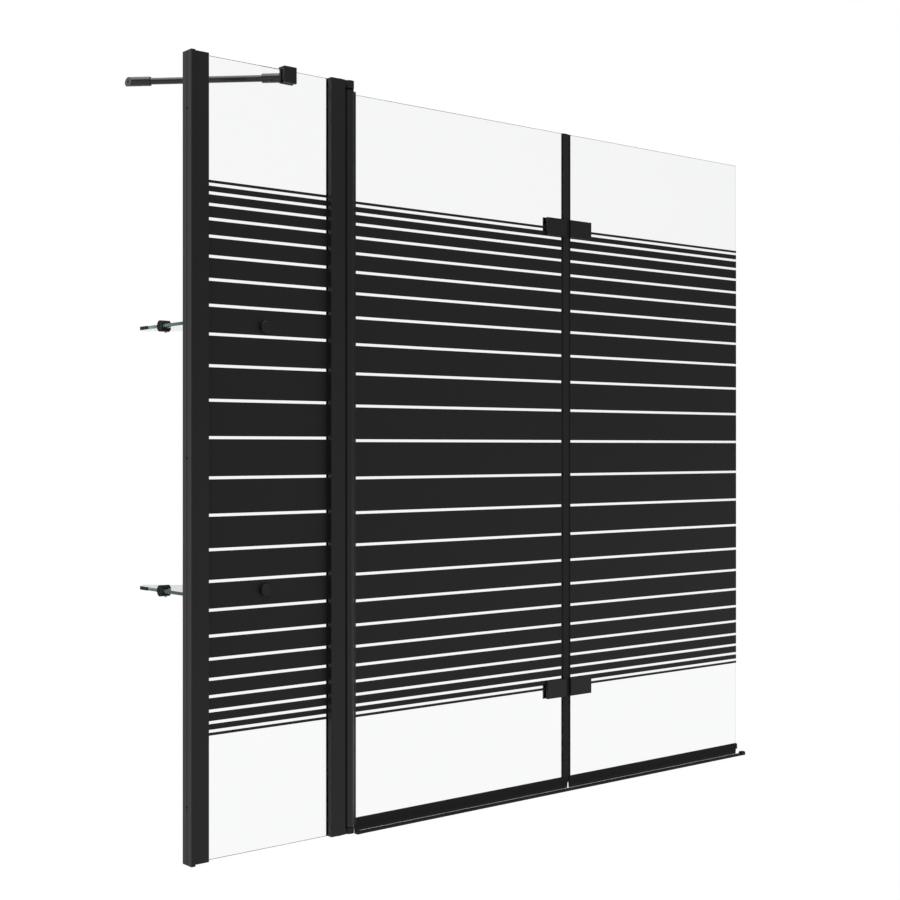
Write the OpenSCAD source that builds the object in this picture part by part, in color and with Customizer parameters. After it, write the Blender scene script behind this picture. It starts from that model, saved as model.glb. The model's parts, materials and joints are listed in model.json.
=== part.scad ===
// Folding bath screen: a fixed pane held in a wall profile, two folding leaves hung on a
// pivot post, a support bar to the wall, two corner shelves and a threshold bar.
// X runs along the screen away from the wall, Y from the outer glass face towards the
// bath, Z up from the bath rim. Y = 0 is the outer face of all panes.

/* [Glass] */
// Thickness of the panes and shelves
glass_t = 6; // [5:0.5:8]
// Height of the fixed pane
fixed_h = 1400; // [1300:10:1600]
// Width of the fixed pane
fixed_w = 285; // [250:1:400]
// Width of the first leaf's pane
leaf_1_w = 561; // [400:1:700]
// Width of the second leaf's pane
leaf_2_w = 542; // [400:0.5:700]
// Height of the fixed pane's lower edge above the rim
pane_lift = 2.5; // [2:0.5:6]
// Height of the leaf panes' lower edge above the rim
leaf_rise = 14.4; // [14.4:0.1:20]
// How far the leaf panes stop below the top of the fixed pane
leaf_drop = 20.7; // [18:0.1:40]

/* [Printed stripes] */
// Height of the thinnest band, and the step from one band to the next
stripe_step = 5; // [3:0.5:6]
// Clear gap between bands
stripe_gap = 5.1; // [3:0.1:8]
// Number of steps in the thickest band, at the middle
stripe_peak = 13; // [5:1:14]
// Thickness of the printed layer
print_t = 0.1; // [0.05:0.05:0.2]

/* [Wall channel and profile] */
// Depth of the channel across the screen
channel_d = 30; // [28:1:40]
// Thickness of the channel's back
channel_back_t = 2; // [1.5:0.25:3]
// Thickness of the channel's outer lips
lip_t = 1.3; // [1:0.1:2]
// How far the outer lips stand out from the wall
lip_reach = 8.2; // [6:0.2:14]
// Thickness of the channel's inner legs
leg_t = 1.7; // [1.2:0.1:2.2]
// How far the inner legs stand out from the wall
leg_reach = 26; // [22:1:28]
// Depth of the locating groove down the channel's back
groove_depth = 0.8; // [0.4:0.1:1]
// Outer wall thickness of the telescoping profile
profile_t = 1.5; // [1.2:0.1:1.8]
// How far the profile stands out from the wall
profile_reach = 36; // [32:0.2:45]
// How far the profile stands above the fixed pane
profile_rise = 1.4; // [0:0.1:2]
// Gap between the profile's rear edges and the channel's back
profile_back_gap = 1; // [0.5:0.1:3]
// Wall of the glazing pocket
pocket_t = 1.3; // [1:0.1:1.6]
// How far the fixed pane reaches into the profile
profile_grip = 16; // [12:0.2:18]
// Glazing gasket thickness in the wall profile
wall_gasket_t = 2.2; // [1.5:0.1:2.3]
// Diameter of the wall screw holes
wall_hole_d = 5; // [4:0.5:6]
// Distance from the channel's ends to the outer wall screw holes
wall_hole_end = 100; // [60:5:200]
// Distance from each wall screw hole to the lock screw next to it
lock_screw_shift = 50; // [20:5:150]
// Distance of the lock screws from the front edge of the inner legs
lock_screw_inset = 5.9; // [5:0.1:8]
// Diameter of the screws that lock profile and channel together
lock_screw_d = 3.5; // [3:0.5:4]

/* [Pivot post and stile] */
// Width of the post along the screen
post_w = 31.7; // [30:0.1:45]
// Depth of the post across the screen
post_d = 20.4; // [20.4:0.1:26]
// Wall thickness of the post
post_t = 1.6; // [1.2:0.1:1.8]
// How far the fixed pane reaches into the post
post_grip = 12.7; // [10:0.1:15]
// Glazing gasket thickness on the outer side of the post and in the stile
post_gasket_t = 1.7; // [1.2:0.1:2]
// Distance from the post's end to the pivot axis
pivot_reach = 14; // [13.5:0.25:18]
// Distance of the pivot axis in front of the outer glass face
pivot_offset = 2; // [1.5:0.25:3]
// Radius of the stile's round barrel
barrel_r = 10.5; // [9.5:0.25:11]
// Distance from the pivot axis to the mouth of the stile's channel
stile_reach = 16.4; // [14:0.2:20]
// Wall thickness of the stile's channel
stile_t = 1.6; // [1.2:0.1:2]
// Radius of the pivot pins
pin_r = 3; // [2:0.25:3.25]
// Outer radius of the pivot bushes
bush_r = 4.95; // [4.5:0.05:5]
// Length of the pivot bushes and of the pins inside them
bush_len = 18; // [12:1:30]
// Radius of the collars that fill the gaps between blocks and stile
collar_r = 9.8; // [7:0.1:10]
// Height of the lower bush's collar
collar_t = 0.8; // [0.6:0.1:2]
// Thickness of the thrust washer on the lower block
washer_t = 0.5; // [0.4:0.1:1]
// Height of the upper pivot block
upper_block_h = 14; // [10:0.5:16]
// Height of the lower pivot block
lower_block_h = 11; // [9:0.5:11]
// How far the blocks stand out past the ends of the post
block_proud = 1; // [0:0.1:1.5]
// Gap between the upper pivot block and the stile
upper_gap = 4; // [3:0.25:6]

/* [Edge seals and bottom rails] */
// How far the first leaf's seal stands out past its pane
seal_1_reach = 8.8; // [7.5:0.1:10]
// Diameter of the seal's hollow nose
nose_d = 5.8; // [5:0.1:5.8]
// Wall thickness of the nose
nose_wall = 1; // [0.8:0.1:1.5]
// Thickness of the strip on the second leaf's pane edge
strip_t = 0.8; // [0.5:0.1:2]
// Clear gap between the nose and the strip
fold_gap = 0.7; // [0.5:0.1:2]
// Width of the first seal's grip on the glass
seal_1_grip = 12; // [8:0.5:16]
// Wall thickness of the first seal's grip
seal_t = 1.4; // [1:0.1:2]
// Overall depth of the bottom rail across the glass
rail_d = 11; // [10:0.5:14]
// Underside height of the bottom rail above the rim
rail_z = 12.5; // [12.5:0.1:12.8]
// Height of the bottom rail
rail_h = 12.5; // [10:0.5:20]
// Distance of the rails' ends from the fold line
rail_end_gap = 2.5; // [2:0.1:3]
// How far the first leaf's wiper runs on past its rail
wiper_overrun = 2.7; // [0:0.1:4]
// How far the second leaf's wiper starts behind its rail's end
wiper_inset = 2.8; // [0:0.1:6]
// Thickness of the wiper blade at its root
wiper_t = 3; // [2:0.25:4]
// Height of the wiper's tip above the rim
wiper_clear = 1; // [0.5:0.25:2]

/* [Fold hinges] */
// Height of a fold hinge
hinge_h = 37; // [30:1:50]
// Distance from the first leaf's pane edge to the fold line
fold_reach = 3.2; // [2.5:0.1:4.5]
// Distance from the fold line to the far ends of the outer plates
front_plate_far = 64; // [58:0.5:75]
// Distance from the fold line to the far ends of the inner plates
back_plate_far = 67.5; // [60:0.5:80]
// Distance from the fold line to the near end of the first leaf's outer plate
front_gap_1 = 9; // [2:0.2:12]
// Distance from the fold line to the near end of the second leaf's outer plate
front_gap_2 = 2.8; // [2:0.2:12]
// Thickness of the outer plates
plate_t = 6; // [5:0.5:8]
// Thickness of the inner plates
back_plate_t = 3; // [2.5:0.25:5]
// Distance from the leaf panes' upper and lower edges to the hinges' middles
hinge_inset = 200; // [80:1:400]
// Radius of the hinge knuckle
knuckle_r = 6; // [5:0.25:6.5]
// Distance from the inner plates to the axis of the knuckle
fold_out = 3.7; // [3.5:0.1:5]
// Length of the first leaf's knuckle at each end of the hinge
knuckle_end = 10; // [7:0.5:12]
// Radius of the hinge pin
hinge_pin_r = 2.5; // [2:0.25:3]
// Spacing of the two screws in a plate
plate_screw_pitch = 24; // [18:1:30]
// Distance from the fold line to the nearer plate screw
plate_screw_near = 25; // [24:1:30]
// Diameter of the plate screws
plate_screw_d = 5; // [4:0.5:6]
// Diameter of the holes in the glass
glass_hole_d = 10; // [9:0.5:12]

/* [Support bar] */
// Diameter of the bar
bar_d = 12; // [10:0.5:14]
// Diameter of the end sockets
socket_d = 17; // [16:0.5:20]
// Length of the end sockets along the bar
socket_len = 43; // [35:1:60]
// Thickness of the foot that closes the socket against the wall
wall_foot_t = 6; // [5:0.5:6]
// Distance of the clamp's centre from the wall
clamp_x = 206.5; // [180:0.5:230]
// Width of the clamp along the screen
clamp_w = 27; // [26:1:36]
// Height of the clamp
clamp_h = 29.5; // [26:0.5:40]
// Distance of the bar's axis below the top of the clamp
bar_drop = 17; // [14:0.5:20]
// Thickness of the clamp's two jaws
jaw_t = 6; // [5:0.5:8]
// Thickness of the clamp's roof above the glass
roof_t = 5.7; // [4:0.1:8]
// Thickness of the soft pads between clamp and glass
clamp_pad_t = 0.7; // [0.5:0.1:1.5]

/* [Corner shelves] */
// Height of the upper shelf's middle plane above the rim
upper_shelf_z = 936; // [800:1:1100]
// Height of the lower shelf's middle plane above the rim
lower_shelf_z = 466; // [300:1:600]
// How far the shelves reach out along the wall
shelf_wall_reach = 196; // [180:1:240]
// Clearance between a shelf and the wall, and between a shelf and the pane
shelf_gap = 2.5; // [2.4:0.1:4]
// Clearance between a shelf and the wall profile
shelf_notch_gap = 2.5; // [2:0.1:6]
// Length of the shelf's short corner cuts
shelf_nose = 18; // [12:1:24]
// Radius of the shelf's corners
shelf_corner_r = 5; // [2:0.5:6]
// Diameter of the shelf clamps
shelf_clamp_d = 20; // [18:0.5:24]
// Length of the shelf clamps
shelf_clamp_len = 18; // [14:0.5:24]
// Distance of the pane-side clamp's centre from the wall
shelf_clamp_x = 155; // [120:1:160]
// Distance of the wall-side clamp's centre from the outer glass face
shelf_clamp_y = 100; // [80:1:120]
// Distance of the set screws from the back of the shelf clamps
set_screw_x = 12; // [6:0.5:14]
// How far the set screws stand out below the shelf clamps
set_screw_proud = 1.8; // [0:0.1:3]
// Length of the pads between shelf and wall
pad_len = 26; // [15:1:40]
// Diameter of the outer discs
disc_d = 21; // [18:0.5:26]
// Thickness of the outer discs
disc_t = 8; // [4:0.5:10]

/* [Threshold bar] */
// How far the bar and its cap run on past the second leaf's pane
threshold_overrun = 9; // [2:0.5:40]
// Depth of the bar
threshold_d = 9.4; // [8:0.2:14]
// Height of the bar
threshold_h = 4.4; // [3.4:0.2:8]
// Clear distance between the bar and the outer glass face
threshold_out = 9.9; // [9:0.1:14]
// Length of the end caps
cap_len = 11; // [8:1:25]
// How far the end caps stand out from the bar
cap_wall = 0.8; // [0.6:0.1:1.5]
// How far the right-hand cap rises above the bar
stop_rise = 4; // [0.8:0.1:8]

/* [Clearances] */
// Gap between a pane and what grips it
grip_gap = 0.3; // [0.2:0.05:0.5]
// Gap between sliding aluminium profiles
slide_gap = 0.2; // [0.1:0.05:0.3]
// Radial running clearance of pins in bushes and knuckles
run_gap = 0.05; // [0.03:0.01:0.08]
// Radial clearance of parts that are fixed in a bore
fit_gap = 0.02; // [0.01:0.01:0.05]
// Gap between the turning faces of the hinges
turn_gap = 0.3; // [0.2:0.05:0.5]

/* [Hidden] */
$fn = 48;
cut = 0.5;

mid_y = glass_t / 2;
pane_top = pane_lift + fixed_h;
channel_h = fixed_h + 2 * pane_lift;

// Wall profile
profile_half = channel_d / 2 - lip_t - slide_gap;
profile_x = channel_back_t + profile_back_gap;
profile_top = pane_top + profile_rise;
leg_half = profile_half - profile_t - slide_gap;
pocket_half = mid_y + grip_gap + wall_gasket_t;
fixed_x = profile_reach - profile_grip;
groove_half = 1.5;
wall_hole_zs = [wall_hole_end, channel_h / 2, channel_h - wall_hole_end];
lock_x = leg_reach - lock_screw_inset;
lock_zs = [wall_hole_zs[0] + lock_screw_shift, wall_hole_zs[1] - lock_screw_shift,
    wall_hole_zs[2] - lock_screw_shift];

// Pivot post
fixed_end = fixed_x + fixed_w;
post_x = fixed_end - post_grip;
post_end = post_x + post_w;
pivot_x = post_end + pivot_reach;
pivot_y = -pivot_offset;
cove_r = sqrt(pow(pivot_reach, 2) + pow(post_d / 2, 2));
post_pocket_front = -grip_gap - post_gasket_t;
tape_t = 0.5;
post_pocket_back = glass_t + grip_gap + tape_t;
post_pocket_end = fixed_end + 1;
chamber_x = post_pocket_end + post_t;
chamber_half = post_d / 2 - post_t;
plug_end = pivot_x - cove_r - post_t - 1;
arm_half = 5;

// Leaf heights
leaf_top = pane_top - leaf_drop;
leaf_h = leaf_top - leaf_rise;
upper_hinge_z = leaf_top - hinge_inset;
lower_hinge_z = leaf_rise + hinge_inset;
lower_block_z = pane_lift - block_proud;
block_top = lower_block_z + lower_block_h;
upper_block_top = pane_top + block_proud;
upper_block_z = upper_block_top - upper_block_h;
stile_z0 = block_top + washer_t + turn_gap + collar_t;
stile_z1 = upper_block_z - upper_gap;
pin_cover = 3;

// Stile
bush_bore_r = bush_r + run_gap;
leaf_1_x = pivot_x + bush_bore_r + stile_t + grip_gap + 0.1;
stile_pocket_half = mid_y + grip_gap + post_gasket_t;
stile_half = stile_pocket_half + stile_t;

// Fold line and second leaf
leaf_1_end = leaf_1_x + leaf_1_w;
fold_x = leaf_1_end + fold_reach;
leaf_2_x = leaf_1_end + seal_1_reach + fold_gap + strip_t + fit_gap;
leaf_2_end = leaf_2_x + leaf_2_w;
hinge_zs = [lower_hinge_z, upper_hinge_z];
back_face = glass_t + grip_gap + back_plate_t;
fold_y = back_face + fold_out;
knuckle_clear = knuckle_r + 0.5;
boss_d = glass_hole_d - 2 * grip_gap;

// Seals and rails
seal_front = -grip_gap - seal_t;
seal_back = glass_t + grip_gap + seal_t;
rail_top = rail_z + rail_h;
rail_front = mid_y - rail_d / 2;
rail_back = mid_y + rail_d / 2;
rail_leg = rail_d / 2 - mid_y - 0.4;
spine_h = 0.8;
rail_1_x0 = pivot_x + stile_reach + post_gasket_t / 2 + grip_gap;
rail_1_x1 = fold_x - rail_end_gap;
rail_2_x0 = fold_x + rail_end_gap;
rail_2_x1 = leaf_2_end + 1;

// Threshold bar, from the lower pivot block's side
block_corner = barrel_r > threshold_out - cap_wall - pivot_offset
    ? sqrt(pow(barrel_r, 2) - pow(threshold_out - cap_wall - pivot_offset, 2)) : 0;
threshold_x = pivot_x + block_corner + grip_gap + 0.1;
threshold_end = leaf_2_end + threshold_overrun;
cap_floor = 1.4;

// Stripes
stripe_count = 2 * stripe_peak - 1;
stripe_total = stripe_step * pow(stripe_peak, 2) + stripe_gap * (stripe_count - 1);
function stripe_h(i) = stripe_step * (i < stripe_peak ? i + 1 : stripe_count - i);
function stripe_z(i) = i == 0 ? 0 : stripe_z(i - 1) + stripe_h(i - 1) + stripe_gap;

// Support bar, at 45 degrees between the clamp's back and the wall
clamp_front = -grip_gap - clamp_pad_t - jaw_t;
clamp_back = glass_t + grip_gap + clamp_pad_t + jaw_t;
clamp_top = pane_top + grip_gap + roof_t;
bar_z = clamp_top - bar_drop;
bar_wall_y = clamp_back + clamp_x;
bar_run = clamp_x * sqrt(2);
socket_solid = 16;
stud_r = 2.5;
stud_depth = 6;
set_screw_r = 2;

// Shelves
shelf_zs = [lower_shelf_z, upper_shelf_z];
shelf_y = glass_t + shelf_gap;
notch_x = profile_reach + shelf_notch_gap;
notch_y = mid_y + channel_d / 2 + shelf_notch_gap;
slot_half = glass_t / 2 + 0.4;
slot_floor = shelf_gap - 0.5;
shelf_bolt_r = 2.5;

black = [0.13, 0.13, 0.14];
rubber_black = [0.08, 0.08, 0.09];
clear = [0.85, 0.95, 0.92, 0.35];
print_black = [0.11, 0.11, 0.12];
steel = [0.6, 0.6, 0.62];

// Shared shapes

// Corner at p between neighbours a and b as an arc of radius r
function corner(a, p, b, r, n = 6) =
    r == 0 ? [p] :
    let (
        u = (a - p) / norm(a - p),
        v = (b - p) / norm(b - p),
        half = acos(u * v) / 2,
        c = p + (u + v) / norm(u + v) * r / sin(half),
        s = p + u * r / tan(half) - c,
        e = p + v * r / tan(half) - c,
        a0 = atan2(s.y, s.x),
        sweep = (atan2(e.y, e.x) - a0 + 540) % 360 - 180
    )
    [for (i = [0:n]) c + r * [cos(a0 + sweep * i / n), sin(a0 + sweep * i / n)]];

// Closed outline with each corner rounded to its own radius
function rounded(points, radii) =
    let (n = len(points))
    [for (i = [0:n - 1]) each corner(points[(i + n - 1) % n], points[i], points[(i + 1) % n], radii[i])];

// Rectangle between two corners with one radius on all four
module round_rect(p, q, r) {
    polygon(rounded([p, [q.x, p.y], q, [p.x, q.y]], [r, r, r, r]));
}

// Rectangle between two corners
module rect(p, q) {
    translate(p) square(q - p);
}

// Outline in XY raised from z0 to z1
module upright(z0, z1) {
    translate([0, 0, z0]) linear_extrude(z1 - z0) children();
}

// Outline in YZ run along X from x0 to x1
module along_x(x0, x1) {
    translate([x0, 0, 0]) rotate([90, 0, 90]) linear_extrude(x1 - x0) children();
}

// Box between two corners
module box(p, q) {
    translate(p) cube(q - p);
}

// Round bar along Y, from y0 to y1
module rod_y(x, y0, y1, z, r) {
    translate([x, y1, z]) rotate([90, 0, 0]) cylinder(h = y1 - y0, r = r);
}

// Round bar along X, from x0 to x1
module rod_x(x0, x1, y, z, r) {
    translate([x0, y, z]) rotate([0, 90, 0]) cylinder(h = x1 - x0, r = r);
}

// Wall side

module channel_outline() {
    difference() {
        rect([0, mid_y - channel_d / 2], [leg_reach, mid_y + channel_d / 2]);
        for (side = [-1, 1])
            translate([0, mid_y]) scale([1, side]) {
                rect([lip_reach, leg_half], [leg_reach + cut, channel_d / 2 + cut]);
                rect([channel_back_t, leg_half], [lip_reach + cut, channel_d / 2 - lip_t]);
            }
        rect([channel_back_t, mid_y - leg_half + leg_t], [leg_reach + cut, mid_y + leg_half - leg_t]);
        polygon([[-cut, mid_y - groove_half], [0, mid_y - groove_half], [groove_depth, mid_y],
            [0, mid_y + groove_half], [-cut, mid_y + groove_half]]);
    }
}

module wall_channel() {
    color(black) difference() {
        upright(0, channel_h) channel_outline();
        for (z = [[-cut, pane_lift], [profile_top, channel_h + cut]])
            box([channel_back_t, mid_y - leg_half - cut, z[0]],
                [leg_reach + cut, mid_y + leg_half + cut, z[1]]);
        for (z = wall_hole_zs) rod_x(-cut, channel_back_t + cut, mid_y, z, wall_hole_d / 2);
        for (z = lock_zs) rod_y(lock_x, mid_y, channel_d, z, lock_screw_d / 2 + fit_gap);
    }
}

module profile_outline() {
    inner = profile_half - profile_t;
    pocket_out = pocket_half + pocket_t;
    floor_x = fixed_x - grip_gap;
    difference() {
        polygon(rounded([[profile_x, mid_y - profile_half], [profile_reach, mid_y - profile_half],
            [profile_reach, mid_y + profile_half], [profile_x, mid_y + profile_half]], [0, 1, 1, 0]));
        rect([profile_x - cut, mid_y - inner], [floor_x - pocket_t, mid_y + inner]);
        for (side = [-1, 1])
            translate([0, mid_y]) scale([1, side])
                rect([floor_x - pocket_t - cut, pocket_out], [profile_reach - profile_t, inner]);
        rect([floor_x, mid_y - pocket_half], [profile_reach + cut, mid_y + pocket_half]);
    }
}

module wall_profile() {
    color(black) difference() {
        upright(pane_lift, profile_top) profile_outline();
        for (z = lock_zs)
            rod_y(lock_x, mid_y + pocket_half + pocket_t, channel_d, z, lock_screw_d / 2 + fit_gap);
    }
}

module profile_lock_screws() {
    head_y = mid_y + profile_half;
    color(steel) for (z = lock_zs) {
        rod_y(lock_x, mid_y + leg_half - leg_t - 1, head_y + cut, z, lock_screw_d / 2);
        difference() {
            rod_y(lock_x, head_y, head_y + lock_screw_d * 0.6, z, lock_screw_d);
            rod_y(lock_x, head_y + lock_screw_d * 0.3, head_y + lock_screw_d, z, lock_screw_d * 0.35);
        }
    }
}

// Gasket strip from the glass side outwards, with a bead that shows at the mouth
module gasket_outline(x0, x1, y0, t) {
    rect([x0, y0], [x1, y0 + t]);
    translate([x1, y0 + t / 2]) circle(r = t / 2);
}

module wall_gaskets() {
    color(rubber_black) upright(pane_lift, pane_top) {
        gasket_outline(fixed_x + 1, profile_reach, mid_y - pocket_half, wall_gasket_t);
        gasket_outline(fixed_x + 1, profile_reach, mid_y + pocket_half - wall_gasket_t, wall_gasket_t);
    }
}

// Panes and print

module stripes(x0, x1, z_mid) {
    for (i = [0:stripe_count - 1])
        box([x0, -print_t - fit_gap, z_mid - stripe_total / 2 + stripe_z(i)],
            [x1, -fit_gap, z_mid - stripe_total / 2 + stripe_z(i) + stripe_h(i)]);
}

module glass_holes(xs, zs) {
    for (x = xs, z = zs) rod_y(x, -1, glass_t + 1, z, glass_hole_d / 2);
}

module fixed_glass() {
    color(clear) difference() {
        box([fixed_x, 0, pane_lift], [fixed_end, glass_t, pane_top]);
        glass_holes([shelf_clamp_x], shelf_zs);
    }
}

module fixed_print() {
    color(print_black) difference() {
        stripes(fixed_x, fixed_end, pane_lift + fixed_h / 2);
        glass_holes([shelf_clamp_x], shelf_zs);
    }
}

// Pivot post

module post_outline() {
    difference() {
        polygon(rounded([[post_x, pivot_y - post_d / 2], [post_end, pivot_y - post_d / 2],
            [post_end, pivot_y + post_d / 2], [post_x, pivot_y + post_d / 2]], [0.8, 0.3, 0.3, 0.8]));
        translate([pivot_x, pivot_y]) circle(r = cove_r);
        rect([post_x - cut, post_pocket_front], [post_pocket_end, post_pocket_back]);
        rect([post_x + post_t, pivot_y - chamber_half], [post_pocket_end, post_pocket_front - post_t]);
        difference() {
            rect([chamber_x, pivot_y - chamber_half], [post_end, pivot_y + chamber_half]);
            translate([pivot_x, pivot_y]) circle(r = cove_r + post_t);
        }
    }
}

module pivot_post() {
    color(black) difference() {
        upright(pane_lift, pane_top) post_outline();
        box([plug_end, pivot_y - arm_half - grip_gap, upper_block_z - grip_gap],
            [post_end + 1, pivot_y + arm_half + grip_gap, pane_top + 1]);
        box([plug_end, pivot_y - arm_half - grip_gap, pane_lift - 1],
            [post_end + 1, pivot_y + arm_half + grip_gap, block_top + grip_gap]);
    }
}

module post_gaskets() {
    color(rubber_black) upright(pane_lift, pane_top) {
        gasket_outline(post_x + post_gasket_t / 2, fixed_end, post_pocket_front, post_gasket_t);
        rect([post_x + 0.5, glass_t + grip_gap], [fixed_end, post_pocket_back]);
    }
}

// Plug in the post, arm through the cove and round block on the pivot axis
module pivot_block(z0, z1, bore_z0, bore_z1) {
    color(black) difference() {
        upright(z0, z1) {
            rect([chamber_x + grip_gap, pivot_y - chamber_half + grip_gap],
                [plug_end, pivot_y + chamber_half - grip_gap]);
            rect([plug_end - 1, pivot_y - arm_half], [pivot_x, pivot_y + arm_half]);
            translate([pivot_x, pivot_y]) circle(r = barrel_r);
        }
        translate([pivot_x, pivot_y, bore_z0]) cylinder(h = bore_z1 - bore_z0, r = pin_r + fit_gap);
    }
}

module upper_pivot_block() {
    pivot_block(upper_block_z, upper_block_top, upper_block_z - cut, upper_block_top - pin_cover);
}

module lower_pivot_block() {
    pivot_block(lower_block_z, block_top, lower_block_z + pin_cover, block_top + cut);
}

module pivot_pins() {
    color(steel) translate([pivot_x, pivot_y]) {
        upright(lower_block_z + pin_cover, stile_z0 + bush_len) circle(r = pin_r);
        upright(stile_z1 - bush_len, upper_block_top - pin_cover) circle(r = pin_r);
    }
}

module thrust_washer() {
    color(steel) translate([pivot_x, pivot_y]) upright(block_top, block_top + washer_t) difference() {
        circle(r = collar_r);
        circle(r = pin_r + run_gap);
    }
}

// Support bar

module bar_clamp() {
    slot_front = clamp_front + jaw_t;
    slot_back = clamp_back - jaw_t;
    color(black) difference() {
        upright(clamp_top - clamp_h, clamp_top)
            round_rect([clamp_x - clamp_w / 2, clamp_front], [clamp_x + clamp_w / 2, clamp_back], 1);
        box([clamp_x - clamp_w, slot_front, clamp_top - clamp_h - 1],
            [clamp_x + clamp_w, slot_back, pane_top + grip_gap]);
        rod_y(clamp_x, slot_back - cut, clamp_back + cut, bar_z, stud_r + fit_gap);
    }
}

module clamp_pads() {
    z0 = clamp_top - clamp_h + 1;
    x0 = clamp_x - clamp_w / 2 + 1;
    x1 = clamp_x + clamp_w / 2 - 1;
    color(rubber_black) {
        box([x0, -grip_gap - clamp_pad_t, z0], [x1, -grip_gap, pane_top]);
        box([x0, glass_t + grip_gap, z0], [x1, glass_t + grip_gap + clamp_pad_t, pane_top]);
    }
}

module clamp_stud() {
    color(steel) rod_y(clamp_x, clamp_back - jaw_t, clamp_back + stud_depth, bar_z, stud_r);
}

// Places a child, drawn along +Z from the mitred end, on the bar's axis at either end
module at_clamp_end() {
    translate([clamp_x, clamp_back, bar_z]) rotate([0, 0, 135]) rotate([0, 90, 0]) children();
}

module at_wall_end() {
    translate([0, bar_wall_y, bar_z]) rotate([0, 0, -45]) rotate([0, 90, 0]) children();
}

// Tube socket with a closed end; the caller cuts the mitre
module bar_socket() {
    difference() {
        translate([0, 0, -socket_d]) cylinder(h = socket_len + socket_d - 0.6, d = socket_d);
        translate([0, 0, socket_solid]) cylinder(h = socket_len, r = bar_d / 2 + run_gap);
        set_screw_hole();
    }
    difference() {
        translate([0, 0, socket_len - 0.6]) cylinder(h = 0.6, d1 = socket_d, d2 = socket_d - 1.2);
        translate([0, 0, socket_solid]) cylinder(h = socket_len, r = bar_d / 2 + run_gap);
    }
}

module set_screw_hole() {
    translate([0, 0, (socket_solid + socket_len) / 2]) rotate([0, 90, 0])
        cylinder(h = socket_d, r = set_screw_r + fit_gap);
}

module bar_clamp_socket() {
    color(black) difference() {
        at_clamp_end() bar_socket();
        box([clamp_x - 3 * socket_d, clamp_back - 3 * socket_d, bar_z - socket_d],
            [clamp_x + 3 * socket_d, clamp_back, bar_z + socket_d]);
        rod_y(clamp_x, clamp_back - cut, clamp_back + stud_depth, bar_z, stud_r + fit_gap);
    }
}

// Slice of the mitred end that lies on the wall, bored for the wall's own bolt
module bar_wall_foot() {
    color(black) difference() {
        intersection() {
            at_wall_end() translate([0, 0, -socket_d]) cylinder(h = 3 * socket_d, d = socket_d);
            box([0, bar_wall_y - 3 * socket_d, bar_z - socket_d],
                [wall_foot_t, bar_wall_y + 3 * socket_d, bar_z + socket_d]);
        }
        rod_x(-cut, wall_foot_t + cut, bar_wall_y, bar_z, stud_r);
    }
}

module bar_wall_socket() {
    color(black) difference() {
        at_wall_end() bar_socket();
        box([-3 * socket_d, bar_wall_y - 3 * socket_d, bar_z - socket_d],
            [wall_foot_t + fit_gap, bar_wall_y + 3 * socket_d, bar_z + socket_d]);
    }
}

module support_bar() {
    color(black) at_wall_end() translate([0, 0, socket_solid + grip_gap])
        cylinder(h = bar_run - 2 * (socket_solid + grip_gap), d = bar_d);
}

module socket_set_screw() {
    translate([bar_d / 2 + run_gap, 0, (socket_solid + socket_len) / 2]) rotate([0, 90, 0])
        cylinder(h = (socket_d - bar_d) / 2 - 2 * run_gap - grip_gap, r = set_screw_r);
}

module socket_set_screws() {
    color(steel) {
        at_clamp_end() socket_set_screw();
        at_wall_end() socket_set_screw();
    }
}

// Corner shelves

// Five-sided plate with a step around the wall profile; the long edge runs at 45 degrees
module shelf_outline() {
    diagonal = shelf_wall_reach + shelf_gap + shelf_nose;
    r = shelf_corner_r;
    polygon(rounded([
        [shelf_gap, notch_y],
        [notch_x, notch_y],
        [notch_x, shelf_y],
        [diagonal - shelf_y - 2 * shelf_nose, shelf_y],
        [diagonal - shelf_y - shelf_nose, shelf_y + shelf_nose],
        [shelf_gap + shelf_nose, shelf_wall_reach],
        [shelf_gap, shelf_wall_reach - shelf_nose]],
        [r / 2, r / 2, r / 2, r, r, r, r]));
}

module shelf(z) {
    color(clear) upright(z - glass_t / 2, z + glass_t / 2) shelf_outline();
}

module upper_shelf() {
    shelf(upper_shelf_z);
}

module lower_shelf() {
    shelf(lower_shelf_z);
}

module shelf_wall_clamp(z) {
    color(black) difference() {
        rod_x(0, shelf_clamp_len, shelf_clamp_y, z, shelf_clamp_d / 2);
        box([slot_floor, shelf_clamp_y - shelf_clamp_d, z - slot_half],
            [shelf_clamp_len + 1, shelf_clamp_y + shelf_clamp_d, z + slot_half]);
        rod_x(-cut, slot_floor + cut, shelf_clamp_y, z, shelf_bolt_r);
        translate([set_screw_x, shelf_clamp_y, z - shelf_clamp_d])
            cylinder(h = shelf_clamp_d, r = set_screw_r + fit_gap);
    }
}

module upper_shelf_wall_clamp() {
    shelf_wall_clamp(upper_shelf_z);
}

module lower_shelf_wall_clamp() {
    shelf_wall_clamp(lower_shelf_z);
}

module shelf_glass_clamp(z) {
    y0 = glass_t + grip_gap;
    color(black) difference() {
        rod_y(shelf_clamp_x, y0, y0 + shelf_clamp_len, z, shelf_clamp_d / 2);
        box([shelf_clamp_x - shelf_clamp_d, glass_t + slot_floor, z - slot_half],
            [shelf_clamp_x + shelf_clamp_d, y0 + shelf_clamp_len + 1, z + slot_half]);
        rod_y(shelf_clamp_x, y0 - cut, glass_t + slot_floor + cut, z, shelf_bolt_r + fit_gap);
        translate([shelf_clamp_x, y0 + set_screw_x, z - shelf_clamp_d])
            cylinder(h = shelf_clamp_d, r = set_screw_r + fit_gap);
    }
}

module upper_shelf_glass_clamp() {
    shelf_glass_clamp(upper_shelf_z);
}

module lower_shelf_glass_clamp() {
    shelf_glass_clamp(lower_shelf_z);
}

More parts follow.
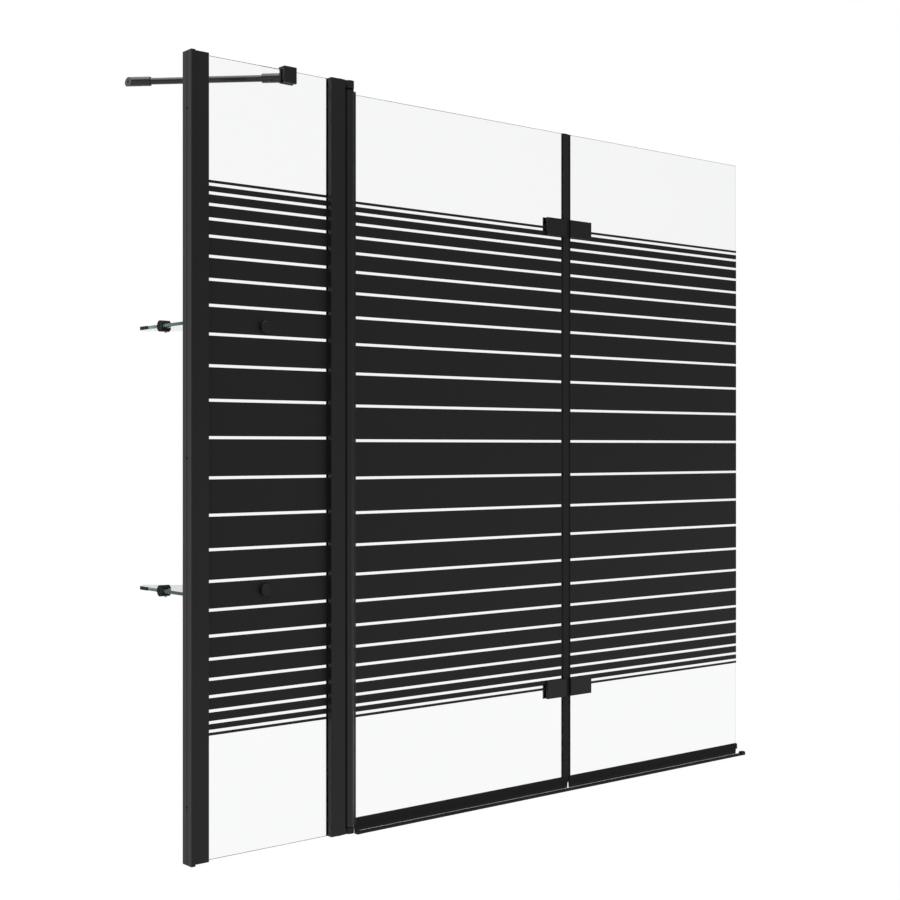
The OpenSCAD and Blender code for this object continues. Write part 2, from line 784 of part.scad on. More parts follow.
// Outer disc with a spigot in the glass hole and a blind bore for the bolt
module shelf_disc(z) {
    bevel = 0.8;
    color(black) difference() {
        translate([shelf_clamp_x, -grip_gap, z]) rotate([90, 0, 0]) rotate_extrude()
            polygon([[0, 0], [disc_d / 2, 0], [disc_d / 2, disc_t - bevel], [disc_d / 2 - bevel, disc_t],
                [0, disc_t]]);
        rod_y(shelf_clamp_x, -disc_t / 2 - grip_gap, 0, z, shelf_bolt_r + fit_gap);
    }
    color(black) difference() {
        rod_y(shelf_clamp_x, -grip_gap, glass_t - grip_gap, z, boss_d / 2);
        rod_y(shelf_clamp_x, -1, glass_t, z, shelf_bolt_r + fit_gap);
    }
}

module upper_shelf_disc() {
    shelf_disc(upper_shelf_z);
}

module lower_shelf_disc() {
    shelf_disc(lower_shelf_z);
}

module shelf_bolts() {
    color(steel) for (z = shelf_zs)
        rod_y(shelf_clamp_x, -disc_t / 2 - grip_gap, glass_t + slot_floor, z, shelf_bolt_r);
}

module shelf_set_screws() {
    jaw_foot = shelf_clamp_d / 2 + set_screw_proud;
    color(steel) for (z = shelf_zs) {
        translate([set_screw_x, shelf_clamp_y, z - jaw_foot])
            cylinder(h = jaw_foot - glass_t / 2, r = set_screw_r);
        translate([shelf_clamp_x, glass_t + grip_gap + set_screw_x, z - jaw_foot])
            cylinder(h = jaw_foot - glass_t / 2, r = set_screw_r);
    }
}

module shelf_pads() {
    pad_y = shelf_wall_reach - shelf_nose - shelf_corner_r - pad_len;
    color(rubber_black) for (z = shelf_zs)
        box([0, pad_y, z - glass_t / 2], [shelf_gap, pad_y + pad_len, z + glass_t / 2]);
}

// Threshold bar

module threshold_outline(grow, rise) {
    y0 = -threshold_out - threshold_d - grow;
    y1 = -threshold_out + grow;
    z1 = threshold_h + rise;
    polygon(rounded([[y0, 0], [y1, 0], [y1, z1], [y0, z1]], [0, 0, 1 + grow, 2.5 + grow]));
}

module threshold_bar() {
    color(black) difference() {
        along_x(threshold_x + cap_floor + 0.1, threshold_end - cap_floor - 0.1) threshold_outline(0, 0);
        box([threshold_x, -threshold_out - threshold_d + 1.5, -cut],
            [threshold_end, -threshold_out - 1.5, 0.8]);
    }
}

module threshold_cap(x0, inner_x0, rise) {
    color(rubber_black) difference() {
        along_x(x0, x0 + cap_len) threshold_outline(cap_wall, rise);
        translate([0, 0, -0.01]) along_x(inner_x0, inner_x0 + cap_len) threshold_outline(run_gap, run_gap);
    }
}

module threshold_cap_left() {
    threshold_cap(threshold_x, threshold_x + cap_floor, cap_wall);
}

module threshold_cap_right() {
    threshold_cap(threshold_end - cap_len, threshold_end - cap_len - cap_floor, stop_rise);
}

// First leaf

module stile_outline() {
    difference() {
        union() {
            translate([pivot_x, pivot_y]) circle(r = barrel_r);
            polygon(rounded([[pivot_x, mid_y - stile_half], [pivot_x + stile_reach, mid_y - stile_half],
                [pivot_x + stile_reach, mid_y + stile_half], [pivot_x, mid_y + stile_half]],
                [0, 0.5, 0.5, 2]));
        }
        translate([pivot_x, pivot_y]) circle(r = bush_bore_r);
        rect([leaf_1_x - grip_gap, mid_y - stile_pocket_half],
            [pivot_x + stile_reach + cut, mid_y + stile_pocket_half]);
    }
}

module leaf_1_stile() {
    color(black) upright(stile_z0, stile_z1) stile_outline();
}

module leaf_1_gaskets() {
    mouth = pivot_x + stile_reach;
    color(rubber_black) upright(stile_z0, leaf_top) {
        gasket_outline(leaf_1_x, mouth, mid_y - stile_pocket_half, post_gasket_t);
        gasket_outline(leaf_1_x, mouth, mid_y + stile_pocket_half - post_gasket_t, post_gasket_t);
    }
}

// Bush with its own bore and a collar at the bottom, outside the stile
module bush(collar) {
    rotate_extrude()
        polygon([[pin_r + run_gap, 0], [collar_r, 0], [collar_r, collar], [bush_r, collar],
            [bush_r, collar + bush_len], [pin_r + run_gap, collar + bush_len]]);
}

module leaf_1_bushes() {
    upper_collar = upper_gap - turn_gap;
    color(rubber_black) {
        translate([pivot_x, pivot_y, stile_z0 - collar_t]) bush(collar_t);
        translate([pivot_x, pivot_y, stile_z1 + upper_collar]) mirror([0, 0, 1]) bush(upper_collar);
    }
}

function plate_screw_xs(side) = [for (i = [0, 1]) fold_x + side * (plate_screw_near + i * plate_screw_pitch)];

module leaf_1_glass() {
    color(clear) difference() {
        box([leaf_1_x, 0, leaf_rise], [leaf_1_end, glass_t, leaf_top]);
        glass_holes(plate_screw_xs(-1), hinge_zs);
    }
}

module leaf_1_print() {
    color(print_black) difference() {
        stripes(leaf_1_x, leaf_1_end, leaf_rise + leaf_h / 2);
        glass_holes(plate_screw_xs(-1), hinge_zs);
    }
}

module rail_outline() {
    floor_z = leaf_rise - grip_gap;
    polygon(rounded([[rail_front, rail_z], [rail_back, rail_z], [rail_back, rail_top],
        [rail_back - rail_leg, rail_top], [rail_back - rail_leg, floor_z], [rail_front + rail_leg, floor_z],
        [rail_front + rail_leg, rail_top], [rail_front, rail_top]], [1.2, 1.2, 0.8, 0.5, 0, 0, 0.5, 0.8]));
}

module bottom_rail(x0, x1) {
    color(black) difference() {
        along_x(x0, x1) rail_outline();
        box([x0 - 1, mid_y - 0.6, rail_z - 1], [x1 + 1, mid_y + 0.6, rail_z + spine_h + 0.1]);
    }
}

// Blade that tapers to its tip, with a spine held in the rail's groove
module wiper(x0, x1) {
    half = wiper_t / 2;
    color(rubber_black) along_x(x0, x1)
        polygon([[mid_y - half, rail_z], [mid_y - half, rail_z - 3.5], [mid_y - half * 0.5, wiper_clear],
            [mid_y + half * 0.5, wiper_clear], [mid_y + half, rail_z - 3.5], [mid_y + half, rail_z],
            [mid_y + 0.5, rail_z], [mid_y + 0.5, rail_z + spine_h], [mid_y - 0.5, rail_z + spine_h],
            [mid_y - 0.5, rail_z]]);
}

module leaf_1_bottom_rail() {
    bottom_rail(rail_1_x0, rail_1_x1);
}

module leaf_1_wiper() {
    wiper(rail_1_x0, rail_1_x1 + wiper_overrun);
}

module leaf_2_bottom_rail() {
    bottom_rail(rail_2_x0, rail_2_x1);
}

module leaf_2_wiper() {
    wiper(rail_2_x0 + wiper_inset, rail_2_x1);
}

// Seal lengths that leave room for the two hinges
module seal_lengths() {
    half = hinge_h / 2 + 0.5;
    upright(rail_top + 0.3, lower_hinge_z - half) children();
    upright(lower_hinge_z + half, upper_hinge_z - half) children();
    upright(upper_hinge_z + half, leaf_top) children();
}

// Web past the pane edge and hollow nose, no deeper than the pane
module seal_1_core() {
    web_x = leaf_1_end + grip_gap;
    nose_r = nose_d / 2;
    nose_x = leaf_1_end + seal_1_reach - nose_r;
    difference() {
        union() {
            rect([web_x, fit_gap], [web_x + seal_t, glass_t - fit_gap]);
            rect([web_x, mid_y - nose_r + 0.5], [nose_x, mid_y + nose_r - 0.5]);
            translate([nose_x, mid_y]) circle(r = nose_r);
        }
        translate([nose_x, mid_y]) circle(r = nose_r - nose_wall);
    }
}

// The two lips that grip the glass, joined behind the pane edge
module seal_1_lips() {
    web_x = leaf_1_end + grip_gap;
    difference() {
        polygon(rounded([[leaf_1_end - seal_1_grip, seal_front], [web_x + seal_t, seal_front],
            [web_x + seal_t, seal_back], [leaf_1_end - seal_1_grip, seal_back]], [0.4, 0.8, 0.8, 0.4]));
        rect([leaf_1_end - seal_1_grip - cut, -grip_gap], [web_x, glass_t + grip_gap]);
    }
}

module leaf_1_edge_seal() {
    color(rubber_black) {
        upright(leaf_rise, leaf_top) seal_1_core();
        seal_lengths() seal_1_lips();
    }
}

module leaf_2_edge_seal() {
    strip_x = leaf_2_x - fit_gap - strip_t;
    color(rubber_black) upright(leaf_rise, leaf_top)
        polygon(rounded([[strip_x, 0], [leaf_2_x - fit_gap, 0], [leaf_2_x - fit_gap, glass_t],
            [strip_x, glass_t]], [0.3, 0, 0, 0.3]));
}

// Fold hinges; side is -1 for the first leaf and 1 for the second

// Outer plate with two spigots in the glass holes
module hinge_front(side, z) {
    near = fold_x + side * (side < 0 ? front_gap_1 : front_gap_2);
    far = fold_x + side * front_plate_far;
    y0 = -grip_gap - plate_t;
    color(black) difference() {
        union() {
            upright(z - hinge_h / 2, z + hinge_h / 2)
                polygon(rounded([[min(near, far), y0], [max(near, far), y0], [max(near, far), -grip_gap],
                    [min(near, far), -grip_gap]], [0.8, 0.8, 0, 0]));
            for (x = plate_screw_xs(side)) rod_y(x, -grip_gap - cut, glass_t - grip_gap, z, boss_d / 2);
        }
        for (x = plate_screw_xs(side))
            rod_y(x, y0 + 2, glass_t, z, plate_screw_d / 2 + fit_gap);
    }
}

// Countersunk head and shank of a plate screw, grown by a clearance
module plate_screw(x, z, grow) {
    head_r = plate_screw_d * 0.9;
    tip = -grip_gap - plate_t + 2 + cut;
    translate([x, back_face, z]) rotate([90, 0, 0]) {
        cylinder(h = back_face - tip, r = plate_screw_d / 2 + grow);
        cylinder(h = head_r - plate_screw_d / 2, r1 = head_r + grow, r2 = plate_screw_d / 2 + grow);
    }
}

// Inner plate with its share of the knuckle: two ends on the first leaf, the middle on the second
module hinge_back(side, z) {
    z0 = z - hinge_h / 2;
    z1 = z + hinge_h / 2;
    spans = side < 0
        ? [[z0, z0 + knuckle_end], [z1 - knuckle_end, z1]]
        : [[z0 + knuckle_end + turn_gap, z1 - knuckle_end - turn_gap]];
    near = fold_x + side * knuckle_clear;
    far = fold_x + side * back_plate_far;
    y0 = glass_t + grip_gap;
    color(black) difference() {
        union() {
            upright(z0, z1)
                polygon(rounded([[min(near, far), y0], [max(near, far), y0], [max(near, far), back_face],
                    [min(near, far), back_face]], [0, 0, 0.8, 0.8]));
            for (span = spans) upright(span[0], span[1]) {
                translate([fold_x, fold_y]) circle(r = knuckle_r);
                rect([min(near + side, fold_x), fold_y - knuckle_r + 0.4],
                    [max(near + side, fold_x), back_face]);
            }
        }
        translate([fold_x, fold_y, z0 - 1])
            cylinder(h = hinge_h + 2, r = hinge_pin_r + (side < 0 ? run_gap : fit_gap));
        for (x = plate_screw_xs(side)) plate_screw(x, z, fit_gap);
    }
}

module hinge_screws(side) {
    socket_depth = 1.5;
    color(steel) for (x = plate_screw_xs(side), z = hinge_zs) difference() {
        plate_screw(x, z, 0);
        translate([x, back_face + 1, z]) rotate([90, 0, 0])
            cylinder(h = 1 + socket_depth, r = plate_screw_d * 0.35, $fn = 6);
    }
}

module leaf_1_upper_hinge_front() {
    hinge_front(-1, upper_hinge_z);
}

module leaf_1_lower_hinge_front() {
    hinge_front(-1, lower_hinge_z);
}

module leaf_1_upper_hinge_back() {
    hinge_back(-1, upper_hinge_z);
}

module leaf_1_lower_hinge_back() {
    hinge_back(-1, lower_hinge_z);
}

module leaf_1_hinge_screws() {
    hinge_screws(-1);
}

// Second leaf

module leaf_2_glass() {
    color(clear) difference() {
        box([leaf_2_x, 0, leaf_rise], [leaf_2_end, glass_t, leaf_top]);
        glass_holes(plate_screw_xs(1), hinge_zs);
    }
}

module leaf_2_print() {
    color(print_black) difference() {
        stripes(leaf_2_x, leaf_2_end, leaf_rise + leaf_h / 2);
        glass_holes(plate_screw_xs(1), hinge_zs);
    }
}

module leaf_2_upper_hinge_front() {
    hinge_front(1, upper_hinge_z);
}

module leaf_2_lower_hinge_front() {
    hinge_front(1, lower_hinge_z);
}

module leaf_2_upper_hinge_back() {
    hinge_back(1, upper_hinge_z);
}

module leaf_2_lower_hinge_back() {
    hinge_back(1, lower_hinge_z);
}

module leaf_2_hinge_screws() {
    hinge_screws(1);
}

module fold_hinge_pins() {
    color(steel) for (z = hinge_zs)
        translate([fold_x, fold_y]) upright(z - hinge_h / 2, z + hinge_h / 2) circle(r = hinge_pin_r);
}

wall_channel();
wall_profile();
profile_lock_screws();
wall_gaskets();
fixed_glass();
fixed_print();
pivot_post();
post_gaskets();
upper_pivot_block();
lower_pivot_block();
pivot_pins();
thrust_washer();
bar_clamp();
clamp_pads();
clamp_stud();
bar_clamp_socket();
support_bar();
bar_wall_foot();
bar_wall_socket();
socket_set_screws();
upper_shelf();
lower_shelf();
upper_shelf_wall_clamp();
lower_shelf_wall_clamp();
upper_shelf_glass_clamp();
lower_shelf_glass_clamp();
upper_shelf_disc();
lower_shelf_disc();
shelf_bolts();
shelf_set_screws();
shelf_pads();
threshold_bar();
threshold_cap_left();
threshold_cap_right();
leaf_1_stile();
leaf_1_gaskets();
leaf_1_bushes();
leaf_1_glass();
leaf_1_print();
leaf_1_bottom_rail();
leaf_1_wiper();
leaf_1_edge_seal();
leaf_1_upper_hinge_front();
leaf_1_lower_hinge_front();
leaf_1_upper_hinge_back();
leaf_1_lower_hinge_back();
leaf_1_hinge_screws();
leaf_2_glass();
leaf_2_print();
leaf_2_bottom_rail();
leaf_2_wiper();
leaf_2_edge_seal();
leaf_2_upper_hinge_front();
leaf_2_lower_hinge_front();
leaf_2_upper_hinge_back();
leaf_2_lower_hinge_back();
leaf_2_hinge_screws();
fold_hinge_pins();
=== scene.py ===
import json
import math
import bmesh
import bpy
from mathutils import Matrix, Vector


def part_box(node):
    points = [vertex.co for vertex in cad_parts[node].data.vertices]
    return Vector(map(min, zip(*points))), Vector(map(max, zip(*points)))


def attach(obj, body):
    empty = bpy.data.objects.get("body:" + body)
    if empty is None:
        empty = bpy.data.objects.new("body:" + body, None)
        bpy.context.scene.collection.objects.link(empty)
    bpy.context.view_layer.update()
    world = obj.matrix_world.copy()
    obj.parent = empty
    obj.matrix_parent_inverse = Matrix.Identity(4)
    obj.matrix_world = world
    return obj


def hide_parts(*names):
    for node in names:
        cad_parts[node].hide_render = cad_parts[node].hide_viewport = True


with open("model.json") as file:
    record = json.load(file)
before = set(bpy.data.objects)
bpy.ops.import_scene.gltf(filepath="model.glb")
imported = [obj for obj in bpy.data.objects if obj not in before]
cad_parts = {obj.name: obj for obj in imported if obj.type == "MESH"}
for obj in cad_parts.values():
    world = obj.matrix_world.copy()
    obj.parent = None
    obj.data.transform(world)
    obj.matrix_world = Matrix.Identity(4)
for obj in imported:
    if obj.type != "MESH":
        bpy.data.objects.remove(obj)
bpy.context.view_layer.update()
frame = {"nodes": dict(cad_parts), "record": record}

MM = 0.001

# ---------------------------------------------------------------- photograph's view

IMAGE_PX = 900
EYE = Vector((-1.2767, -2.2502, 0.721))
LEVEL_DEG = 90
TURN_DEG = -39.614
FOCAL_PX = 1480
SENSOR_MM = 36
HORIZON_PX = 447.1


def make_camera():
    """The level camera of the photograph, with its small upward shift."""
    data = bpy.data.cameras.new("camera")
    data.sensor_width = SENSOR_MM
    data.lens = FOCAL_PX * SENSOR_MM / IMAGE_PX
    data.shift_y = (HORIZON_PX - IMAGE_PX / 2) / IMAGE_PX
    camera = bpy.data.objects.new("camera", data)
    camera.location = EYE
    camera.rotation_euler = (math.radians(LEVEL_DEG), 0, math.radians(TURN_DEG))
    bpy.context.scene.collection.objects.link(camera)
    bpy.context.scene.camera = camera


# ---------------------------------------------------------------- shader sums


OBJECT_NORMAL = 1
OBJECT_POINT = 3
GLOSSY_DEPTH = 11


class Field:
    """A shader socket that takes part in Python sums."""

    def __init__(self, nodes, socket):
        self.nodes = nodes
        self.socket = socket

    def _math(self, operation, *values):
        return self.nodes.add("ShaderNodeMath", {"operation": operation}, *values)

    def __add__(self, other):
        return self._math("ADD", self, other)

    def __radd__(self, other):
        return self._math("ADD", other, self)

    def __sub__(self, other):
        return self._math("SUBTRACT", self, other)

    def __rsub__(self, other):
        return self._math("SUBTRACT", other, self)

    def __mul__(self, other):
        return self._math("MULTIPLY", self, other)

    def __rmul__(self, other):
        return self._math("MULTIPLY", other, self)

    def __abs__(self):
        return self._math("ABSOLUTE", self)

    def step(self, low, high):
        """0 below low, 1 above high, and smooth between them."""
        settings = {"interpolation_type": "SMOOTHSTEP"}
        return self.nodes.add("ShaderNodeMapRange", settings, self, low, high, 0.0, 1.0)


class Nodes:
    """A node tree and a short way to add nodes and feed their sockets."""

    def __init__(self, tree):
        self.tree = tree

    def add(self, kind, settings, *values, out=0, **named):
        """Adds a node: settings first, then its sockets in order or by name."""
        node = self.tree.nodes.new(kind)
        for key, value in settings.items():
            setattr(node, key, value)
        for i, value in enumerate(values):
            self.feed(node.inputs[i], value)
        for key, value in named.items():
            self.feed(node.inputs[key.replace("_", " ")], value)
        return Field(self, node.outputs[out])

    def feed(self, socket, value):
        """Links a field to a socket, or sets a plain value on it."""
        if isinstance(value, Field):
            self.tree.links.new(value.socket, socket)
        else:
            socket.default_value = value

    def split(self, vector):
        """The three parts of a vector."""
        node = self.tree.nodes.new("ShaderNodeSeparateXYZ")
        self.feed(node.inputs[0], vector)
        return [Field(self, s) for s in node.outputs]

    def mix(self, factor, low, high):
        """Colour between low and high by a factor."""
        node = self.tree.nodes.new("ShaderNodeMix")
        node.data_type = "RGBA"
        self.feed(node.inputs[0], factor)
        self.feed(node.inputs[6], low)
        self.feed(node.inputs[7], high)
        return Field(self, node.outputs[2])


class Finish(Nodes):
    """One material: a Principled shader and the nodes that feed it."""

    def __init__(self, name):
        self.material = bpy.data.materials.new(name)
        self.material.use_nodes = True
        super().__init__(self.material.node_tree)
        self.shader = self.tree.nodes["Principled BSDF"]
        self.output = self.tree.nodes["Material Output"]

    def set(self, **sockets):
        """Feeds the shader's own sockets, named with underscores."""
        for key, value in sockets.items():
            self.feed(self.shader.inputs[key.replace("_", " ")], value)

    def place(self):
        """The point in the piece's own frame, in metres."""
        return self.add("ShaderNodeTexCoord", {}, out=OBJECT_POINT)

    def facing(self):
        """The three parts of the surface normal in the piece's own frame."""
        return self.split(self.add("ShaderNodeTexCoord", {}, out=OBJECT_NORMAL))

    def noise(self, size, detail, stretch=(1, 1, 1)):
        """Noise with features of a size in metres, between 0 and 1."""
        where = self.add("ShaderNodeMapping", {}, self.place(), (0, 0, 0), (0, 0, 0), stretch)
        return self.add("ShaderNodeTexNoise", {}, Vector=where, Scale=1 / size, Detail=detail)

    def bump(self, height, strength, depth):
        """Raises the surface by a height field, up to a depth in metres."""
        raised = self.add("ShaderNodeBump", {}, Strength=strength, Distance=depth, Height=height)
        self.set(Normal=raised)


# ---------------------------------------------------------------- finishes


def powder_coat():
    """Satin black powder coat: clouds of gloss under a fine orange-peel skin."""
    f = Finish("satin_black_powder_coat")
    grain = f.noise(0.5 * MM, detail=2.0)
    cloud = f.noise(60 * MM, detail=3.0)
    f.set(
        Base_Color=f.mix(cloud, (0.0066, 0.0066, 0.0068, 1), (0.0082, 0.0082, 0.0084, 1)),
        Roughness=0.38 + 0.08 * cloud + 0.06 * grain,
        Specular_IOR_Level=0.22,
    )
    f.bump(grain, strength=0.25, depth=0.05 * MM)
    return f.material


def black_finish(name, grain, colours, roughness, gloss, skin):
    """A black skin whose grain sets its tone, its roughness and its small relief.

    grain is its size in millimetres and its detail, roughness the least and what grain adds,
    skin the strength of the relief and its depth in millimetres.
    """
    f = Finish(name)
    size, detail = grain
    field = f.noise(size * MM, detail)
    dark, light = colours
    least, spread = roughness
    f.set(
        Base_Color=f.mix(field, dark, light),
        Roughness=least + spread * field,
        Specular_IOR_Level=gloss,
    )
    strength, depth = skin
    f.bump(field, strength, depth * MM)
    return f.material


SMOOTH_COLOURS = ((0.0074, 0.0074, 0.0076, 1), (0.0088, 0.0088, 0.0090, 1))
MATT_COLOURS = ((0.0084, 0.0084, 0.0086, 1), (0.0100, 0.0100, 0.0102, 1))
INK_COLOURS = ((0.0084, 0.0084, 0.0086, 1), (0.0098, 0.0098, 0.0100, 1))
RUBBER_COLOURS = ((0.009, 0.009, 0.009, 1), (0.012, 0.012, 0.012, 1))
PLASTIC_COLOURS = ((0.010, 0.010, 0.010, 1), (0.014, 0.014, 0.014, 1))
# Painted shade: far darker than the other blacks, for the bushes and thrust washer, so that the
# gaps at the pivot read as dark shadow slots.
SHADE_SLOT_COLOURS = ((0.0015, 0.0015, 0.0015, 1), (0.0025, 0.0025, 0.0025, 1))


def stainless():
    """Turned stainless steel with fine marks."""
    f = Finish("turned_stainless_steel")
    marks = f.noise(0.3 * MM, detail=3.0, stretch=(1, 1, 6))
    f.set(
        Base_Color=f.mix(marks, (0.42, 0.42, 0.43, 1), (0.55, 0.55, 0.56, 1)),
        Metallic=1.0,
        Roughness=0.26 + 0.16 * marks,
    )
    f.bump(marks, strength=0.15, depth=0.02 * MM)
    return f.material


def clear_glass(name, flat_axis, clear, edge_colour, tint, density):
    """Clear toughened glass with ground edges; flat_axis is across the pane."""
    f = Finish(name)
    edge = 1 - abs(f.facing()[flat_axis]).step(0.55, 0.9)
    f.set(
        Base_Color=f.mix(edge, clear, edge_colour),
        Roughness=0.10 * edge,
        IOR=1.5,
        Transmission_Weight=1.0,
        Specular_IOR_Level=0.5,
        Specular_Tint=(0.3, 0.3, 0.3, 1),
    )
    absorb = f.add("ShaderNodeVolumeAbsorption", {}, Color=tint, Density=density)
    f.feed(f.output.inputs["Volume"], absorb)
    return f.material


# ---------------------------------------------------------------- pieces


BODIES = frame["record"]["behaviour"]["bodies"]
BODY_OF = {node: body for body, members in BODIES.items() for node in members}
SLOT_OF = {s["node"]: s["material_slot"] for s in frame["record"]["subparts"]}

WELD = 0.001 * MM
FLAT_WITHIN = math.radians(0.5)
SHARP_ABOVE = math.radians(40)
SMOOTH_BELOW = math.radians(32)
BEVEL_STEPS = 3
FACE_WEIGHT = 100
LIP_DROP = 0.5 * MM
LIP_HEIGHT = 0.05 * MM
FLUSH_WITHIN = 0.01 * MM


def link_piece(name, bm, node, material):
    """Makes the mesh a piece that stands for a CAD node, on the same body, with the given finish;
    the node itself is hidden.
    """
    mesh = bpy.data.meshes.new(name)
    bm.to_mesh(mesh)
    bm.free()
    mesh.materials.append(material)
    piece = bpy.data.objects.new(name, mesh)
    bpy.context.scene.collection.objects.link(piece)
    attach(piece, BODY_OF[node])
    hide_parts(node)
    return piece


def merged_copy(node):
    """The node's solid as one welded mesh with its flat faces whole."""
    bm = bmesh.new()
    bm.from_mesh(frame["nodes"][node].data)
    bmesh.ops.remove_doubles(bm, verts=bm.verts, dist=WELD)
    bmesh.ops.dissolve_limit(bm, angle_limit=FLAT_WITHIN, verts=bm.verts, edges=bm.edges)
    return bm


def softened(node, material, width, keep=None):
    """Breaks the sharp edges of a node with a small round, as coating and tumbling leave them."""
    bm = merged_copy(node)
    edges = [e for e in bm.edges if len(e.link_faces) == 2]
    edges = [e for e in edges if e.calc_face_angle(0) > SHARP_ABOVE]
    if keep:
        edges = [e for e in edges if keep(e)]
    if width:
        bmesh.ops.bevel(bm, geom=edges, offset=width, offset_type="OFFSET", affect="EDGES",
                        segments=BEVEL_STEPS, profile=0.5, clamp_overlap=True, material=-1)
    return link_piece(node + "_piece", bm, node, material)


def even_shading(piece):
    """Lets the large faces set the shading, so that they stay flat beside their rounded edges."""
    smooth_by_angle(piece)
    weighted = piece.modifiers.new("even_shading", "WEIGHTED_NORMAL")
    weighted.keep_sharp = True
    weighted.weight = FACE_WEIGHT


def smooth_by_angle(piece):
    """Smooth shading that keeps the sharp edges crisp."""
    mesh = piece.data
    bm = bmesh.new()
    bm.from_mesh(mesh)
    for face in bm.faces:
        face.smooth = True
    for edge in bm.edges:
        edge.smooth = len(edge.link_faces) == 2 and edge.calc_face_angle(0) < SMOOTH_BELOW
    bm.to_mesh(mesh)
    bm.free()


def lowered_to_rim(node, material):
    """A wiper whose lip comes down to just above the rim, which it brushes in use."""
    bm = merged_copy(node)
    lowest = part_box(node)[0][2]
    lip = [v for v in bm.verts if v.co.z < lowest + LIP_HEIGHT]
    bmesh.ops.translate(bm, verts=lip, vec=(0, 0, -LIP_DROP))
    return link_piece(node + "_piece", bm, node, material)


def at_pane_border(low, high):
    """Test for the long outer edges of a pane between two corners of its box."""
    long = 0.5 * min(high[0] - low[0], high[2] - low[2])

    def test(edge):
        if edge.calc_length() <= long:
            return False
        for axis in range(3):
            for side in (low[axis], high[axis]):
                if all(abs(v.co[axis] - side) < FLUSH_WITHIN for v in edge.verts):
                    return True
        return False

    return test


def dress(node, material):
    """Gives a CAD node that keeps its own shape its finish."""
    mesh = frame["nodes"][node].data
    mesh.materials.clear()
    mesh.materials.append(material)


# ---------------------------------------------------------------- room

FLOOR_HALF = 14.0
FLOOR_DROP = 1 * MM
SIDE_OF_WORLD = (-0.6, 0.8)
FRONT_TONE = (0.27, 0.27, 0.27, 1)
WHITE = (1, 1, 1, 1)


def make_floor():
    """A plain pale floor, just under the foot of the screen."""
    f = Finish("pale_floor")
    f.set(Base_Color=(0.01, 0.01, 0.01, 1), Roughness=0.9, Specular_IOR_Level=0.0,
          Emission_Color=WHITE, Emission_Strength=0.99)
    bm = bmesh.new()
    bmesh.ops.create_grid(bm, x_segments=1, y_segments=1, size=FLOOR_HALF)
    bmesh.ops.translate(bm, verts=bm.verts, vec=(0, 0, -FLOOR_DROP))
    mesh = bpy.data.meshes.new("floor")
    bm.to_mesh(mesh)
    bm.free()
    mesh.materials.append(f.material)
    floor = bpy.data.objects.new("floor", mesh)
    bpy.context.scene.collection.objects.link(floor)


def make_world():
    """White all round to the eye; mirrored, it is bright behind the screen and dim in front."""
    world = bpy.data.worlds.new("studio")
    world.use_nodes = True
    nodes = Nodes(world.node_tree)
    outward = nodes.split(nodes.add("ShaderNodeTexCoord", {}))
    behind = SIDE_OF_WORLD[1] * outward[1] + SIDE_OF_WORLD[0] * outward[0]
    bright = behind.step(-0.35, 0.85)
    mirrored = nodes.add("ShaderNodeLightPath", {}, out=GLOSSY_DEPTH).step(0.2, 0.8)
    background = world.node_tree.nodes["Background"]
    tone = nodes.mix(mirrored * (1 - bright), WHITE, FRONT_TONE)
    nodes.feed(background.inputs["Color"], tone)
    bpy.context.scene.world = world
    bpy.context.scene.view_settings.view_transform = "Standard"


def soft_box(name, place, aim, size, power):
    """A broad studio light of a width, a depth and watts, aimed at a point."""
    data = bpy.data.lights.new(name, "AREA")
    data.shape = "RECTANGLE"
    data.size, data.size_y = size
    data.energy = power
    light = bpy.data.objects.new(name, data)
    light.location = place
    light.rotation_euler = (Vector(aim) - Vector(place)).to_track_quat("-Z", "Y").to_euler()
    bpy.context.scene.collection.objects.link(light)


# ---------------------------------------------------------------- building

make_camera()
make_world()
make_floor()
soft_box("top_box", place=(-0.2, -0.2, 3.3), aim=(0.0, 0.1, 1.0), size=(3.0, 2.6), power=90)

FINISHES = {
    "black_coated_aluminium": powder_coat(),
    "ceramic_print": black_finish(
        "fired_ceramic_ink", (0.8, 2.0), INK_COLOURS, (0.42, 0.08), 0.15, (0.1, 0.02)),
    "black_rubber": black_finish(
        "black_sealing_rubber", (0.7, 3.0), RUBBER_COLOURS, (0.62, 0.15), 0.15, (0.2, 0.04)),
    "black_plastic": black_finish(
        "black_moulded_plastic", (0.4, 3.0), PLASTIC_COLOURS, (0.5, 0.12), 0.15, (0.2, 0.04)),
    "screw_steel": stainless(),
}
BAR_COAT = black_finish(
    "smooth_black_coat", (0.5, 2.0), SMOOTH_COLOURS, (0.16, 0.06), 0.4, (0.02, 0.01))
STILE_COAT = black_finish(
    "stile_black_coat", (0.5, 2.0), SMOOTH_COLOURS, (0.30, 0.06), 0.28, (0.02, 0.01))
MATT_COAT = black_finish(
    "matt_black_coat", (0.5, 2.0), MATT_COLOURS, (0.68, 0.10), 0.12, (0.2, 0.04))
# Painted shade: the bushes and the steel thrust washer get this near-black plastic so that the
# gap under the upper pivot block looks like a shadow slot.
SHADE_SLOT_PLASTIC = black_finish(
    "painted_shade_black_plastic", (0.4, 3.0), SHADE_SLOT_COLOURS, (0.7, 0.1), 0.05, (0.2, 0.03))
PANE_GLASS = clear_glass(
    "pane_glass", flat_axis=1, clear=(0.944, 0.949, 0.946, 1), edge_colour=(0.92, 0.94, 0.93, 1),
    tint=(0.58, 0.86, 0.76, 1), density=2.0)
SHELF_GLASS = clear_glass(
    "shelf_glass", flat_axis=2, clear=(0.98, 0.985, 0.98, 1), edge_colour=(0.60, 0.61, 0.60, 1),
    tint=(0.06, 0.38, 0.21, 1), density=22.0)

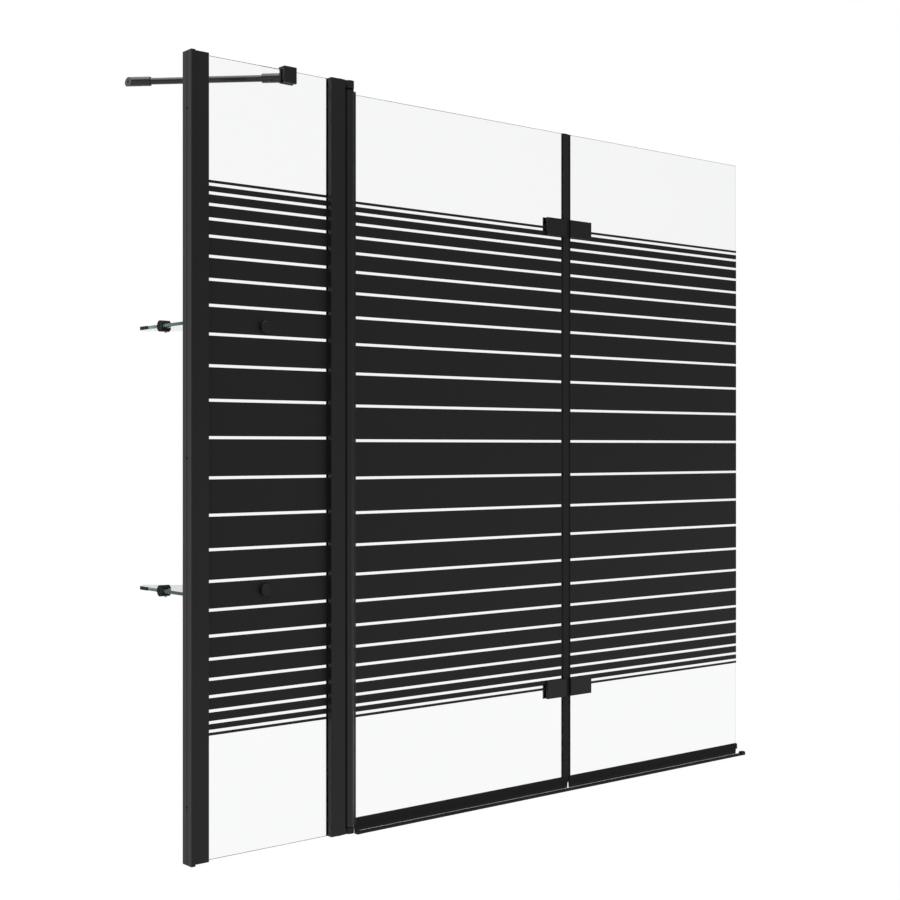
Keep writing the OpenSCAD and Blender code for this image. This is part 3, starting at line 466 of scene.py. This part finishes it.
PANES = ("fixed_glass", "leaf_1_glass", "leaf_2_glass")
SHELVES = ("upper_shelf", "lower_shelf")
BOTTOM_RAILS = ("leaf_1_bottom_rail", "leaf_2_bottom_rail")
THRESHOLD_CAPS = ("threshold_cap_left", "threshold_cap_right")
PIVOT_BLOCKS = ("upper_pivot_block", "lower_pivot_block")
SHELF_CLAMPS = ("upper_shelf_wall_clamp", "lower_shelf_wall_clamp",
                "upper_shelf_glass_clamp", "lower_shelf_glass_clamp")
HINGE_FRONTS = ("leaf_1_upper_hinge_front", "leaf_1_lower_hinge_front",
                "leaf_2_upper_hinge_front", "leaf_2_lower_hinge_front")
HINGE_BACKS = ("leaf_1_upper_hinge_back", "leaf_1_lower_hinge_back",
               "leaf_2_upper_hinge_back", "leaf_2_lower_hinge_back")

FINISHED_APART = (
    (BAR_COAT, ("support_bar", "bar_wall_socket", "bar_wall_foot", "bar_clamp_socket")),
    (STILE_COAT, ("leaf_1_stile",)),
    # Painted shade: bushes and thrust washer made near-black to stand in for the shadow in the
    # pivot gaps.
    (SHADE_SLOT_PLASTIC, ("leaf_1_bushes", "thrust_washer")),
    (MATT_COAT, BOTTOM_RAILS + SHELF_CLAMPS),
)
OWN_FINISH = {node: finish for finish, nodes in FINISHED_APART for node in nodes}

ARRIS = 0.7 * MM
ROUNDED_MM = (
    (0.9, ("wall_channel",)),
    (0.5, ("bar_clamp",) + HINGE_FRONTS),
    (0.4, PIVOT_BLOCKS + HINGE_BACKS + THRESHOLD_CAPS + SHELF_CLAMPS),
    (0.3, ("wall_profile", "pivot_post", "leaf_1_stile") + BOTTOM_RAILS),
    (0.15, ("threshold_bar",)),
)
ROUNDING = {node: width * MM for width, nodes in ROUNDED_MM for node in nodes}

for node in SLOT_OF:
    if node in PANES:
        softened(node, PANE_GLASS, ARRIS, keep=at_pane_border(*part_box(node)))
    elif node in SHELVES:
        even_shading(softened(node, SHELF_GLASS, ARRIS))
    elif node.endswith("_wiper"):
        even_shading(lowered_to_rim(node, FINISHES[SLOT_OF[node]]))
    elif node.endswith("_print"):
        dress(node, FINISHES[SLOT_OF[node]])
    else:
        finish = OWN_FINISH.get(node, FINISHES[SLOT_OF[node]])
        even_shading(softened(node, finish, ROUNDING.get(node, 0)))
